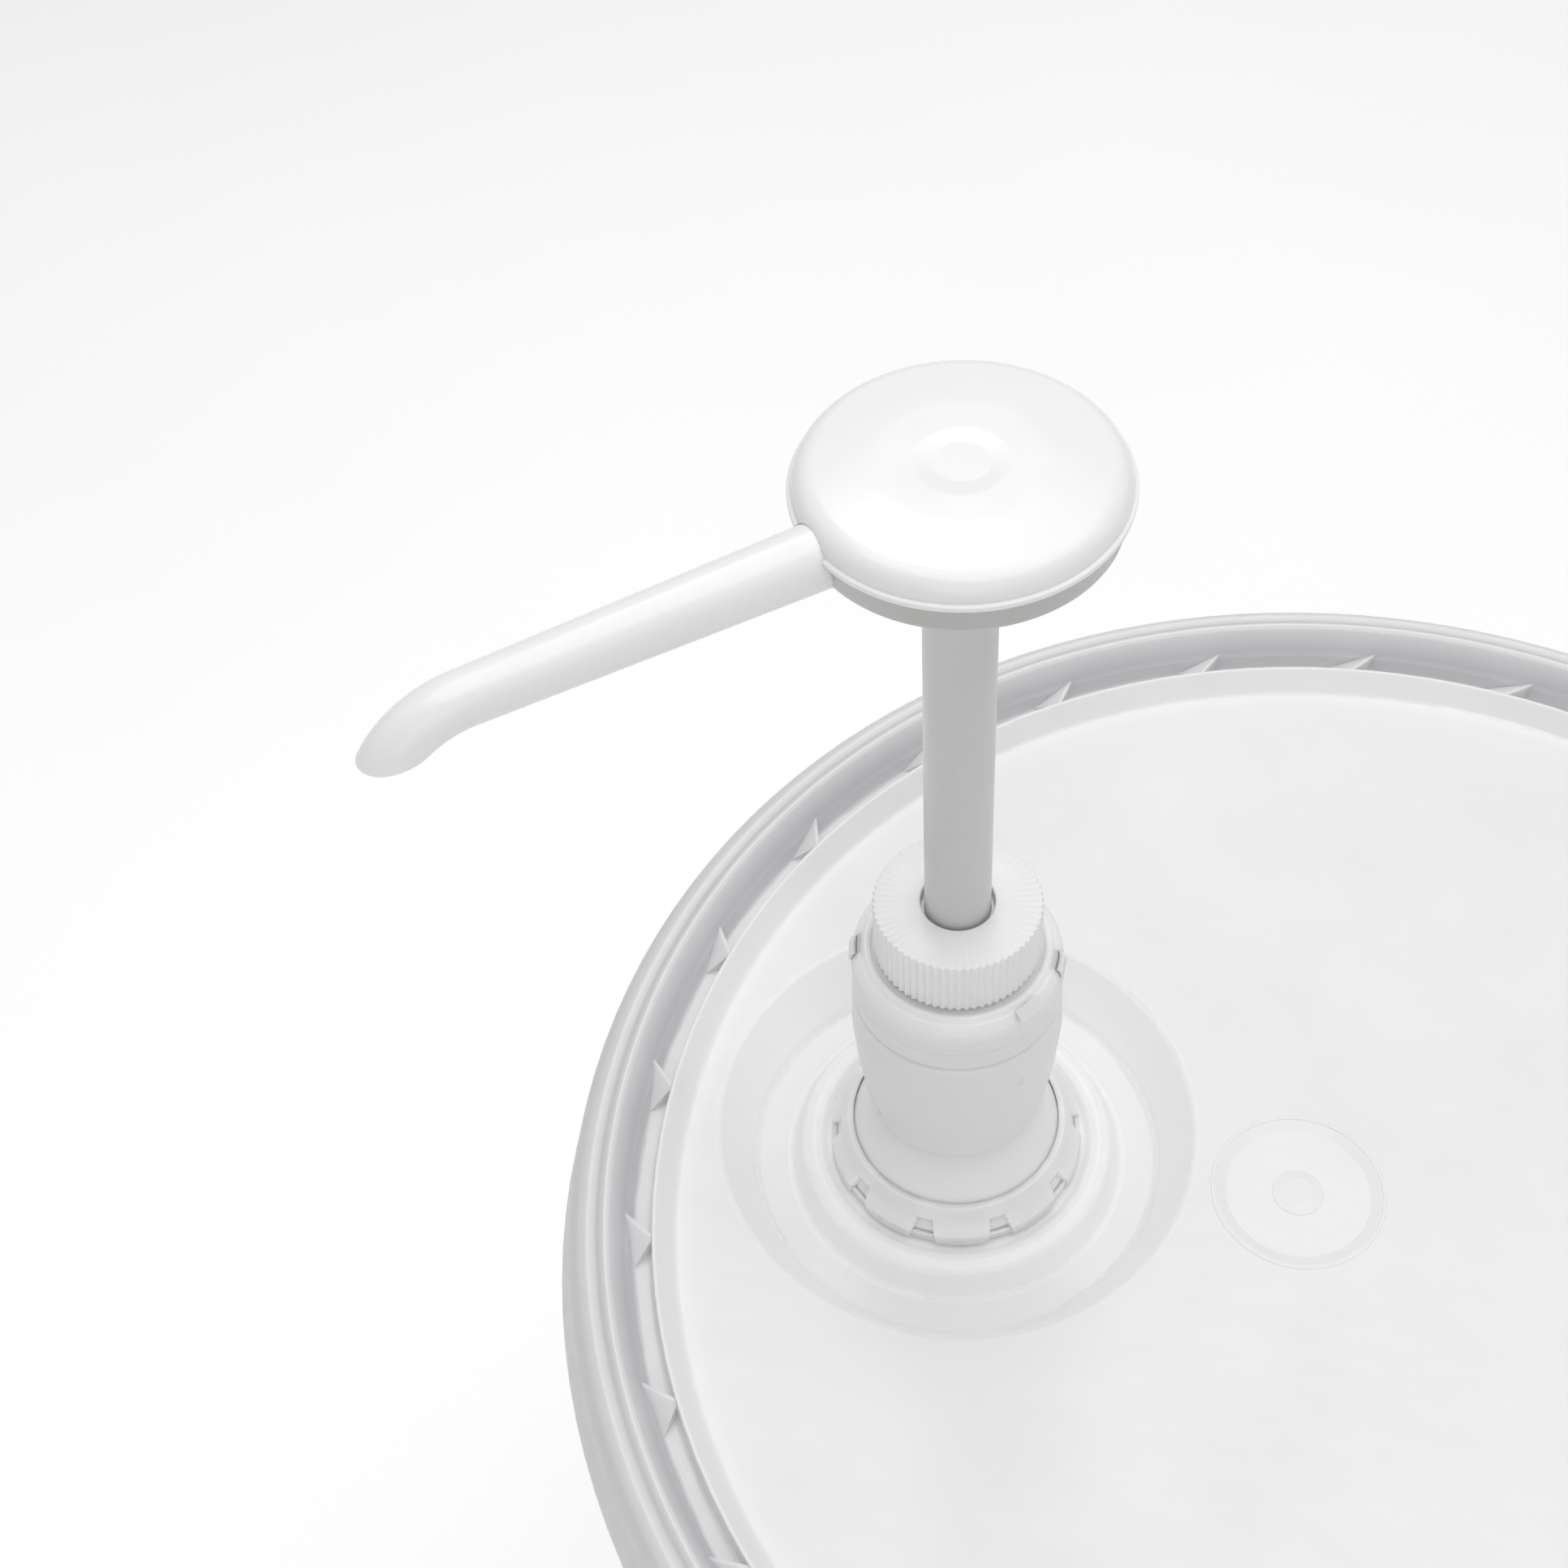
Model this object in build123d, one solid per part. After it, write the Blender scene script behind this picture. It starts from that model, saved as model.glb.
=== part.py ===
from build123d import *
import math
import os

# Long-stroke condiment pump on a pail lid. Millimetres, +Z up.
# The origin is the centre of the lid on the plane where its gasket meets the
# pail's rim. The pump stands on an axis offset from the centre, along -X.

# ---- Driving dimensions --------------------------------------------------
pump_offset = 86.2  # from the lid's centre to the pump's axis
collar_top = 73.5  # height of the collar's top face above the pail's rim
stroke = 90.0  # travel of the head from rest to full depth
fit_gap = 0.08  # radial clearance of a sliding or turning fit
seat_gap = 0.15  # clearance between a piece and its snap or press seat

# Lid, heights from the pail's rim
lid_wall = 2.2
rim_crest_r = 157.5
rim_crest_z = 4.9
skirt_r = 168.7
skirt_z = -13.5
panel_edge_r = 148.2
panel_edge_z = -0.8
panel_z = -6.3
moat_z = -5.8
gusset_count = 25
gusset_pitch = 360.0 / gusset_count
gusset_phase = 110.6
gusset_skew = 44.0
gusset_long = 9.0
gusset_ramp = 8.0
groove_in_r = 158.7
groove_out_r = 163.0
dimple_x = -12.0
dimple_r = 17.5
dimple_deep = 0.8
gate_r = 5.4

# Everything below is measured down from the collar's top face, on the pump's axis
well_r = 51.6
well_floor_r = 44.3
well_floor_z = -93.2
boss_r = 36.4
lid_hole_r = 22.3
spout_floor_z = -87.4

# Spout
finish_bore_r = 12.0
finish_r = 13.6
finish_top_z = -5.4
thread_rise = 0.45
spout_r = 21.4
flange_r = 26.4
flange_z = -86.2
lug_azimuth = 192.8
tab_azimuth = 325.3

# Castellated retaining ring
ring_r = 27.4
window_count = 10
window_phase = 267.8

# Collar
collar_r = 16.5
collar_z = -13.5
tooth_count = 66
tooth_deep = 0.55
collar_bore_r = 14.3
collar_hole_r = 7.2

# Stem and head
stem_r = 6.4
stem_bore_r = 4.8
stem_top_z = 100.6
stem_foot_z = -16.0
head_r = 27.3
head_base_z = 101.2
seam_z = 107.5
head_top_z = 112.6
head_wall = 1.8
nozzle_z = 104.8
nozzle_root_r = 5.5
nozzle_tip_r = 4.5
nozzle_azimuth = 222.9
nozzle_root_x = 23.4
nozzle_bend_x = 84.1
nozzle_bend_radius = 16.7
nozzle_bend_angle = 58.8
nozzle_wall = 1.4
nozzle_tip_z = nozzle_z - 5.2
spigot_r = 3.8
spigot_x = 5.2
hub_r = 8.8
hub_z = 92.0

# Cylinder, piston and valves
bore_r = 10.2
cylinder_r = 11.5
cylinder_top_z = -2.6
cylinder_foot_z = -150.0
foot_socket_r = 7.6
foot_socket_bore_r = 6.2
foot_socket_z = -166.0
discharge_ball_r = 3.17
discharge_ball_z = -22.65
discharge_ball_lift = 3.0
inlet_ball_r = 3.97
inlet_ball_z = -158.05
spring_wire = 1.3
spring_mean_r = 8.0
spring_turns = 12
spring_top_z = -36.2
spring_foot_z = -143.8
dip_tube_r = 6.0
dip_tube_bore_r = 4.6
dip_tube_foot_z = -430.0

pump_seat = Pos(-pump_offset, 0, collar_top)


# ---- Helpers ---------------------------------------------------------------
def turned(corners):
    """Solid of revolution about Z from (radius, height, corner radius) rows."""
    points = [(r, 0, z) for r, z, _ in corners]
    radii = [soft for _, _, soft in corners]
    outline = FilletPolyline(*points, radius=radii, close=True)
    return revolve(make_face(outline), axis=Axis.Z)


def tube(outer, inner, low, high):
    """Plain tube about Z."""
    sharp = [(inner, low, 0), (outer, low, 0), (outer, high, 0), (inner, high, 0)]
    return turned(sharp)


def rod(radius, low, high):
    """Plain rod about Z."""
    return Pos(0, 0, low) * Cylinder(radius, high - low, align=(Align.CENTER, Align.CENTER, Align.MIN))


def along_x(radius, start, end, height):
    """Plain rod along X at a height."""
    bar = Cylinder(radius, end - start, align=(Align.CENTER, Align.CENTER, Align.MIN))
    return Pos(start, 0, height) * Rot(0, 90, 0) * bar


def save(shape, node):
    export_step(shape, f"parts/{node}.step")


# ---- Lid -------------------------------------------------------------------
def lid_rim_and_panel():
    """The lid as turned about its own centre, before the pump's well is formed."""
    top = [
        (0, panel_z, 0),
        (143.7, panel_z, 1.5),
        (panel_edge_r - 0.7, panel_edge_z, 0.6),
        (panel_edge_r, panel_edge_z, 0.3),
        (148.7, moat_z, 0.8),
        (152.5, moat_z, 0.8),
        (153.3, -2.4, 1.2),
        (156.6, 4.0, 1.2),
        (rim_crest_r, rim_crest_z, 0.5),
        (159.4, 3.5, 1.2),
        (161.4, rim_crest_z - 1.0, 0.6),
        (163.4, 2.8, 1.5),
        (165.4, 0.6, 2.0),
        (166.3, -4.0, 4.0),
        (skirt_r, skirt_z, 0.6),
    ]
    inside = [
        (skirt_r - 1.9, skirt_z, 0),
        (165.4, -11.2, 0.5),
        (164.5, -9.6, 0.6),
        (165.0, -7.8, 0.5),
        (groove_out_r + 0.2, -0.8, 1.0),
        (groove_out_r, 1.9, 0.3),
        (groove_in_r, 1.9, 0.3),
        (158.3, 0.4, 0.8),
        (155.4, -4.8, 1.5),
        (154.4, moat_z - 2.0, 0.9),
        (144.8, moat_z - 2.0, 1.0),
        (143.0, panel_z - lid_wall, 0.8),
        (0, panel_z - lid_wall, 0),
    ]
    return turned(top + inside)


def lid_gussets():
    """Slanting ramps in the channel between the panel's raised edge and the rim's inner wall."""
    floor = moat_z - 0.6
    ridge_z = panel_edge_z - 0.5
    section = Polyline((0, 0, floor), (0, 0, ridge_z), (0, 0.7, ridge_z), (0, gusset_ramp, floor), close=True)
    ramp = extrude(make_face(section), amount=gusset_long / 2, both=True)
    ramp = Pos(150.8, 0, 0) * Rot(0, 0, -gusset_skew) * ramp
    channel = tube(155.2, panel_edge_r + 0.1, floor, ridge_z + 1.0)
    ramp = ramp & channel
    return [Rot(0, 0, gusset_phase + gusset_pitch * i) * ramp for i in range(gusset_count)]


def lid_well():
    """Sunk ring and raised boss round the spout, turned about the pump's axis."""
    panel_top = panel_z - collar_top
    top = [
        (lid_hole_r, spout_floor_z, 0),
        (28.3, spout_floor_z, 0.5),
        (29.6, -86.4, 0.6),
        (31.4, -85.8, 1.4),
        (33.8, -86.8, 2.0),
        (boss_r, well_floor_z, 1.2),
        (well_floor_r, well_floor_z, 1.6),
        (well_r, panel_top, 1.6),
        (well_r + 1.6, panel_top, 0),
    ]
    under = [
        (well_r + 1.6, panel_top - lid_wall, 0),
        (well_r - 0.4, panel_top - lid_wall, 1.2),
        (well_floor_r + 1.2, well_floor_z - lid_wall, 1.0),
        (boss_r - 1.8, well_floor_z - lid_wall, 0.8),
        (33.0, -90.0, 1.2),
        (lid_hole_r, -90.0, 0),
    ]
    return pump_seat * turned(top + under)


def pail_lid():
    lid = lid_rim_and_panel()
    lid = lid - Pos(-pump_offset, 0, 0) * rod(well_r + 0.8, -12.0, 0.0)
    lid = lid + lid_well()
    lid = lid + lid_gussets()
    dimple_cut = turned(
        [
            (0, panel_z - dimple_deep, 0),
            (dimple_r - 2.4, panel_z - dimple_deep, 0.6),
            (dimple_r, panel_z + 0.1, 0),
            (0, panel_z + 0.1, 0),
        ]
    )
    gate = turned(
        [
            (0, panel_z - dimple_deep - 0.3, 0),
            (gate_r, panel_z - dimple_deep - 0.3, 0),
            (gate_r, panel_z - 0.6, 0.2),
            (gate_r - 2.4, panel_z - 0.05, 2.0),
            (0, panel_z - 0.2, 0),
        ]
    )
    bead = turned(
        [
            (dimple_r - 0.3, panel_z - 0.5, 0),
            (dimple_r + 1.2, panel_z - 0.5, 0),
            (dimple_r + 0.8, panel_z + 0.25, 0.2),
            (dimple_r + 0.1, panel_z + 0.25, 0.2),
        ]
    )
    lid = lid - Pos(dimple_x, 0, 0) * dimple_cut
    return lid + Pos(dimple_x, 0, 0) * gate + Pos(dimple_x, 0, 0) * bead


def rim_gasket():
    """Foamed ring in the top of the lid's groove, on which the pail's rim bears."""
    return turned(
        [
            (groove_in_r + 0.1, 0.0, 0.3),
            (groove_out_r - 0.1, 0.0, 0.3),
            (groove_out_r - 0.2, 1.85, 0),
            (groove_in_r + 0.3, 1.85, 0),
        ]
    )


# ---- Spout -------------------------------------------------------------------
def spout():
    """Pull-up spout: threaded finish, shoulder, body and flared foot in one moulding."""
    outside = [
        (finish_bore_r, finish_top_z, 0.3),
        (finish_r, finish_top_z, 0.3),
        (finish_r, -6.6, 0),
        (finish_r + thread_rise, -7.2, 0),
        (finish_r, -7.8, 0),
        (finish_r, -9.6, 0),
        (finish_r + thread_rise, -10.2, 0),
        (finish_r, -10.8, 0),
        (finish_r, -14.4, 0.3),
        (16.9, -14.4, 0.3),
        (17.3, -13.9, 0.4),
        (18.4, -13.4, 0.5),
        (19.2, -14.4, 0.6),
        (20.7, -16.2, 0.8),
        (21.0, -18.0, 0.8),
        (21.0, -26.9, 0.3),
        (20.6, -27.4, 0.2),
        (20.6, -28.1, 0.2),
        (21.1, -28.7, 0.3),
        (spout_r, -38.0, 8.0),
        (20.6, -50.0, 8.0),
        (18.8, -63.6, 1.2),
        (17.4, -65.6, 0.6),
        (18.5, -69.0, 2.0),
        (24.0, -83.0, 1.0),
        (24.0, -84.7, 0.3),
        (flange_r, -84.7, 0.3),
        (flange_r, flange_z, 0),
    ]
    inside = [
        (22.4, flange_z, 0.5),
        (22.2, -82.6, 1.0),
        (16.9, -69.2, 2.0),
        (15.8, -65.4, 1.5),
        (17.1, -62.8, 1.5),
        (18.9, -49.8, 8.0),
        (19.7, -38.0, 8.0),
        (19.2, -18.6, 1.0),
        (18.2, -16.9, 0.6),
        (finish_bore_r, -16.9, 0),
    ]
    return turned(outside + inside)


def shoulder_lugs():
    """Two small catches on the spout's shoulder, left over from its tear-off cap."""
    side = Polyline((18.6, 0, -14.6), (21.6, 0, -15.0), (21.9, 0, -17.6), (19.6, 0, -17.0), close=True)
    lug = extrude(make_face(side), amount=2.4, both=True)
    return [Rot(0, 0, azimuth) * lug for azimuth in (lug_azimuth, lug_azimuth + 170.0)]


def tear_tab():
    """Rectangular stub of the tear-off cap's band, on the lip of the shoulder."""
    plate = Pos(20.3, 0, -15.0) * Rot(0, 50, 0) * Box(2.6, 5.4, 0.9)
    return Rot(0, 0, tab_azimuth) * plate


def retaining_ring():
    """Castellated ring that traps the spout's flange on the lid."""
    ring = turned(
        [
            (22.3, -78.1, 0),
            (24.25, -83.05, 0),
            (24.25, -84.5, 0),
            (26.6, -84.5, 0),
            (26.6, -86.3, 0),
            (ring_r, -86.3, 0.2),
            (ring_r, -83.4, 0.6),
            (23.6, -77.6, 0.3),
        ]
    )
    window = Pos(26.4, 0, -81.9) * Rot(0, 52, 0) * Box(3.6, 5.2, 6.0)
    for i in range(window_count):
        ring = ring - Rot(0, 0, window_phase + 360.0 / window_count * i) * window
    return ring


def spout_gasket():
    return tube(26.2, lid_hole_r + 0.3, spout_floor_z + 0.02, flange_z - 0.02)


# ---- Collar and the pieces it clamps -----------------------------------------
def collar():
    """Screw collar with fine V-teeth round its side."""
    outline = []
    for i in range(tooth_count):
        for part, radius in ((0.0, collar_r), (0.5, collar_r - tooth_deep)):
            angle = 2 * math.pi * (i + part) / tooth_count
            outline.append((radius * math.cos(angle), radius * math.sin(angle)))
    blank = extrude(make_face(Polyline(*outline, close=True)), amount=collar_z)
    blank = blank - rod(collar_bore_r, collar_z - 1.0, -2.0)
    return blank - rod(collar_hole_r, -3.0, 1.0)


def neck_gasket():
    return tube(finish_r, cylinder_r + 0.4, finish_top_z + 0.02, -4.22)


def stem_guide():
    """Bush in the top of the cylinder that guides the stem and holds its wiper."""
    blank = turned(
        [
            (stem_r + fit_gap, stem_foot_z + 0.2, 0),
            (bore_r - seat_gap, stem_foot_z + 0.2, 0.4),
            (bore_r - seat_gap, cylinder_top_z, 0),
            (finish_r - 0.2, cylinder_top_z, 0),
            (finish_r - 0.2, -2.05, 0),
            (stem_r + fit_gap, -2.05, 0),
        ]
    )
    return blank - rod(8.4, -9.6, -7.4)


def stem_wiper():
    return tube(8.3, stem_r + fit_gap, -9.5, -7.5)


# ---- Head ------------------------------------------------------------------
def toward_nozzle(shape):
    return Rot(0, 0, nozzle_azimuth) * shape


def head_base():
    """Lower shell of the head with its hub, which takes the stem and the nozzle."""
    shell = turned(
        [
            (0, head_base_z, 0),
            (head_r - 1.6, head_base_z, 1.4),
            (head_r - 0.6, 106.9, 0.3),
            (head_r - 0.6 - head_wall, 106.9, 0),
            (head_r - 1.6 - head_wall, head_base_z + 2.0, 1.0),
            (hub_r, head_base_z + 2.0, 0),
            (hub_r, 110.0, 0),
            (0, 110.0, 0),
        ]
    )
    shell = shell + rod(hub_r, hub_z, head_base_z + 0.5)
    shell = shell - rod(stem_r + 0.02, hub_z - 1.0, stem_top_z + 0.02)
    shell = shell - rod(spigot_r - nozzle_wall, stem_top_z - 0.5, nozzle_z)
    socket = along_x(spigot_r + 0.02, spigot_x - 0.1, nozzle_root_x, nozzle_z)
    channel = along_x(spigot_r - nozzle_wall, 0.0, spigot_x, nozzle_z)
    wall_notch = along_x(nozzle_root_r + 0.05, nozzle_root_x - 1.5, head_r + 2.0, nozzle_z)
    return shell - toward_nozzle(socket) - toward_nozzle(channel) - toward_nozzle(wall_notch)


def head_cap():
    """Domed push cap that snaps over the lower shell."""
    cap = turned(
        [
            (0, 112.0, 0),
            (4.5, 112.0, 2.0),
            (8.0, head_top_z - 0.1, 3.0),
            (20.0, head_top_z, 12.0),
            (head_r - 2.6, 111.6, 3.0),
            (head_r - 0.9, 108.4, 1.0),
            (head_r, 108.0, 0),
            (head_r, seam_z - 0.4, 0),
            (head_r - 1.9, seam_z - 0.4, 0),
            (head_r - 3.2, 110.9, 0.8),
            (0, 110.9, 0),
        ]
    )
    notch = along_x(nozzle_root_r + 0.05, nozzle_root_x - 1.5, head_r + 2.0, nozzle_z)
    return cap - toward_nozzle(notch)


def nozzle():
    """Tapered spout tube: spigot in the hub, straight run and a turned-down tip."""
    start = nozzle_root_x - 1.0
    run = nozzle_bend_x - start
    lie = Pos(start, 0, nozzle_z) * Rot(0, 90, 0)
    grow = (Align.CENTER, Align.CENTER, Align.MIN)
    outer = lie * Cone(nozzle_root_r, nozzle_tip_r, run, align=grow)
    inner_root = nozzle_root_r - nozzle_wall - 0.6
    inner_tip = nozzle_tip_r - nozzle_wall
    hollow = lie * Cone(inner_root, inner_tip, run, align=grow)
    tail = 12.0
    turn = math.radians(nozzle_bend_angle)
    bend_end_x = nozzle_bend_x + nozzle_bend_radius * math.sin(turn)
    bend_end_z = nozzle_z - nozzle_bend_radius * (1 - math.cos(turn))
    bend = ThreePointArc(
        (nozzle_bend_x, 0, nozzle_z),
        (nozzle_bend_x + nozzle_bend_radius * math.sin(turn / 2), 0,
         nozzle_z - nozzle_bend_radius * (1 - math.cos(turn / 2))),
        (bend_end_x, 0, bend_end_z),
    )
    drop = Line(
        (bend_end_x, 0, bend_end_z),
        (bend_end_x + tail * math.cos(turn), 0, bend_end_z - tail * math.sin(turn)),
    )
    section = Plane(origin=(nozzle_bend_x, 0, nozzle_z), x_dir=(0, 1, 0), z_dir=(1, 0, 0))
    path = Wire([bend, drop])
    elbow = sweep(section * Circle(nozzle_tip_r), path=path)
    elbow_hollow = sweep(section * Circle(inner_tip), path=path)
    below_tip = Pos(bend_end_x, 0, nozzle_tip_z - 15.0) * Box(60, 40, 30)
    spigot = along_x(spigot_r, spigot_x, start + 0.5, nozzle_z)
    spigot_hollow = along_x(spigot_r - nozzle_wall, spigot_x - 1.0, start + 1.0, nozzle_z)
    body = outer + elbow + spigot - hollow - elbow_hollow - spigot_hollow - below_tip
    return toward_nozzle(body)


def stem():
    """Tube from the head's hub down to the piston."""
    return tube(stem_r, stem_bore_r, stem_foot_z, stem_top_z)


# ---- Piston and valves ---------------------------------------------------------
def piston_core():
    """Piston body: neck inside the stem's foot, skirt for the cup, and the ball's seat."""
    return turned(
        [
            (3.6, -12.0, 0),
            (stem_bore_r - fit_gap, -12.0, 0.3),
            (stem_bore_r - fit_gap, stem_foot_z - 0.1, 0),
            (9.4, stem_foot_z - 0.1, 0.3),
            (9.4, -18.0, 0),
            (7.0, -18.0, 0),
            (7.0, -28.0, 0),
            (2.2, -28.0, 0),
            (2.2, -25.2, 0),
            (3.6, -23.0, 0),
        ]
    )


def piston_cup():
    """Double-lipped cup that seals the bore."""
    return turned(
        [
            (7.1, -18.1, 0),
            (9.6, -18.1, 0.3),
            (bore_r - fit_gap, -18.6, 0),
            (bore_r - fit_gap, -19.6, 0),
            (9.5, -20.4, 0),
            (9.5, -25.8, 0),
            (bore_r - fit_gap, -26.6, 0),
            (bore_r - fit_gap, -27.6, 0),
            (9.5, -27.9, 0),
            (7.1, -27.9, 0),
        ]
    )


def piston_retainer():
    """Threaded ring under the cup that carries the spring's upper end."""
    return turned(
        [
            (2.6, -28.1, 0),
            (9.4, -28.1, 0.3),
            (9.4, spring_top_z + 0.1, 0.3),
            (7.0, spring_top_z + 0.1, 0),
            (6.8, spring_top_z - 3.0, 0.5),
            (4.2, spring_top_z - 3.0, 0.3),
            (3.4, -31.0, 0),
            (2.6, -31.0, 0),
        ]
    )


def discharge_ball():
    return Pos(0, 0, discharge_ball_z) * Sphere(discharge_ball_r)


def discharge_ball_stop():
    """Crossed bars above the ball that limit its lift."""
    underside = discharge_ball_z + discharge_ball_r + discharge_ball_lift + 0.2
    bar = Pos(0, 0, underside + 0.8) * Box(7.06, 1.2, 1.6)
    return bar + Rot(0, 0, 90) * bar


def return_spring():
    """Stainless compression spring under the piston, with flat-ended outer turns."""
    height = spring_top_z - spring_foot_z - spring_wire
    pitch = height / spring_turns
    path = Pos(0, 0, spring_foot_z + spring_wire / 2) * Helix(pitch, height, spring_mean_r)
    section = Plane(origin=path @ 0, z_dir=path % 0)
    return sweep(section * Circle(spring_wire / 2), path=path, is_frenet=True)


def pump_cylinder():
    """Long barrel with its clamping flange and the socket for the foot valve."""
    return turned(
        [
            (bore_r, cylinder_top_z - 0.05, 0),
            (finish_r - 0.1, cylinder_top_z - 0.05, 0.2),
            (finish_r - 0.1, -4.2, 0.2),
            (cylinder_r, -4.2, 0.3),
            (cylinder_r, cylinder_foot_z, 1.5),
            (foot_socket_r, cylinder_foot_z - 2.4, 0.6),
            (foot_socket_r, foot_socket_z, 0.4),
            (foot_socket_bore_r, foot_socket_z, 0),
            (foot_socket_bore_r, cylinder_foot_z + 1.4, 0),
            (bore_r, cylinder_foot_z + 2.4, 0.4),
        ]
    )


def foot_valve():
    """Pressed-in foot valve: ball seat above and a barbed tail for the dip tube."""
    return turned(
        [
            (2.8, -176.0, 0),
            (4.2, -176.0, 0.4),
            (dip_tube_bore_r - 0.05, -172.5, 0),
            (dip_tube_bore_r - 0.3, -172.3, 0),
            (dip_tube_bore_r - 0.3, foot_socket_z - 1.7, 0),
            (7.4, foot_socket_z - 1.7, 0.3),
            (7.4, foot_socket_z - 0.1, 0),
            (foot_socket_bore_r - 0.03, foot_socket_z - 0.1, 0),
            (foot_socket_bore_r - 0.03, -152.0, 0),
            (4.6, -152.0, 0),
            (4.6, -158.6, 0),
            (2.8, -161.0, 0),
        ]
    )


def inlet_ball():
    return Pos(0, 0, inlet_ball_z) * Sphere(inlet_ball_r)


def inlet_ball_cage():
    """Perforated cap over the foot valve: stops the ball and seats the spring."""
    cage = turned(
        [
            (0, -149.4, 0),
            (6.0, -149.4, 0),
            (6.0, -147.0, 0),
            (9.9, -147.0, 0.3),
            (9.9, spring_foot_z - 0.1, 0.3),
            (6.9, spring_foot_z - 0.1, 0),
            (6.4, spring_foot_z + 3.6, 0.6),
            (0, spring_foot_z + 3.6, 0),
        ]
    )
    slot = Pos(3.4, 0, -146.0) * Box(3.2, 3.0, 16.0)
    for azimuth in (45, 135, 225, 315):
        cage = cage - Rot(0, 0, azimuth) * slot
    return cage


def dip_tube():
    """Straight tube to the bottom of the pail, cut on a slant at its foot."""
    body = tube(dip_tube_r, dip_tube_bore_r, dip_tube_foot_z, foot_socket_z - 1.8)
    slant = Pos(0, 0, dip_tube_foot_z) * Rot(0, 30, 0) * Box(40, 40, 8.0)
    return body - slant


# ---- Build -----------------------------------------------------------------
def main():
    os.makedirs("parts", exist_ok=True)
    save(pail_lid(), "pail_lid")
    save(rim_gasket(), "rim_gasket")
    save(pump_seat * (spout() + shoulder_lugs()), "spout")
    on_pump = {
        "tear_tab": tear_tab,
        "retaining_ring": retaining_ring,
        "spout_gasket": spout_gasket,
        "collar": collar,
        "neck_gasket": neck_gasket,
        "stem_guide": stem_guide,
        "stem_wiper": stem_wiper,
        "head_base": head_base,
        "head_cap": head_cap,
        "nozzle": nozzle,
        "stem": stem,
        "piston_core": piston_core,
        "piston_cup": piston_cup,
        "piston_retainer": piston_retainer,
        "discharge_ball": discharge_ball,
        "discharge_ball_stop": discharge_ball_stop,
        "return_spring": return_spring,
        "pump_cylinder": pump_cylinder,
        "foot_valve": foot_valve,
        "inlet_ball": inlet_ball,
        "inlet_ball_cage": inlet_ball_cage,
        "dip_tube": dip_tube,
    }
    for node, make in on_pump.items():
        save(pump_seat * make(), node)


main()
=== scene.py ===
import math

import bmesh
import bpy
from mathutils import Matrix, Vector


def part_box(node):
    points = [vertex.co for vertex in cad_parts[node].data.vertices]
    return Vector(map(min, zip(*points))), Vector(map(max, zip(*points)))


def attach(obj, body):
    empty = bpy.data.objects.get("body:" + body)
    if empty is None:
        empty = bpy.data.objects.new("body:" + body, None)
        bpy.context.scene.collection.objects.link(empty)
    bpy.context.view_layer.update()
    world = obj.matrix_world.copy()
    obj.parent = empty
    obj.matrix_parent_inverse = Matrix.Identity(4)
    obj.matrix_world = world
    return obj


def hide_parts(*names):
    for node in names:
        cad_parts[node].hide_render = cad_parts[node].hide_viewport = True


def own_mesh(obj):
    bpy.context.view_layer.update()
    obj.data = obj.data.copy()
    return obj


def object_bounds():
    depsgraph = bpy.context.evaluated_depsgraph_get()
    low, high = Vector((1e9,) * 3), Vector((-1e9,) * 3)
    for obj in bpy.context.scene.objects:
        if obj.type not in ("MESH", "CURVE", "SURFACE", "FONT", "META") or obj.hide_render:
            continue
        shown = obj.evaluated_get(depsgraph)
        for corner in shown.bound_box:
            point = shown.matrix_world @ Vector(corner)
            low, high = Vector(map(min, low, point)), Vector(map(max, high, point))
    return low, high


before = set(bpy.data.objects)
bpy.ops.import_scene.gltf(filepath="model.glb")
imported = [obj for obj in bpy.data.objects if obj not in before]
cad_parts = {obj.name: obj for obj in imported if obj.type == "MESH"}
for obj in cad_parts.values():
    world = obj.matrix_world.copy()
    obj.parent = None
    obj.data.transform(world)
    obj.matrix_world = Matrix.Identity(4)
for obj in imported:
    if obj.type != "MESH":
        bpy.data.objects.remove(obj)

cad_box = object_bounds()

# ---- Places read from the frame, in metres ------------------------------------
MM = 0.001
STEM_LOW, STEM_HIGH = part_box("stem")
COLLAR_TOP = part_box("collar")[1].z
PUMP = Vector(((STEM_LOW.x + STEM_HIGH.x) / 2, (STEM_LOW.y + STEM_HIGH.y) / 2, COLLAR_TOP))

# ---- Sizes in millimetres and degrees, heights from the collar's top face -----
HEAD_R = (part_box("head_cap")[1].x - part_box("head_cap")[0].x) / 2 / MM
HEAD_TOP = (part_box("head_cap")[1].z - COLLAR_TOP) / MM
LIP_FOOT = (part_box("head_cap")[0].z - COLLAR_TOP) / MM
COLLAR_R = (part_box("collar")[1].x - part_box("collar")[0].x) / 2 / MM
COLLAR_FOOT = (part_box("collar")[0].z - COLLAR_TOP) / MM
NOZZLE_FOOT = (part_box("nozzle")[0].z - COLLAR_TOP) / MM
SPRING_FOOT = (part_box("return_spring")[0].z - COLLAR_TOP) / MM
SPRING_TOP = (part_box("return_spring")[1].z - COLLAR_TOP) / MM

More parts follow.
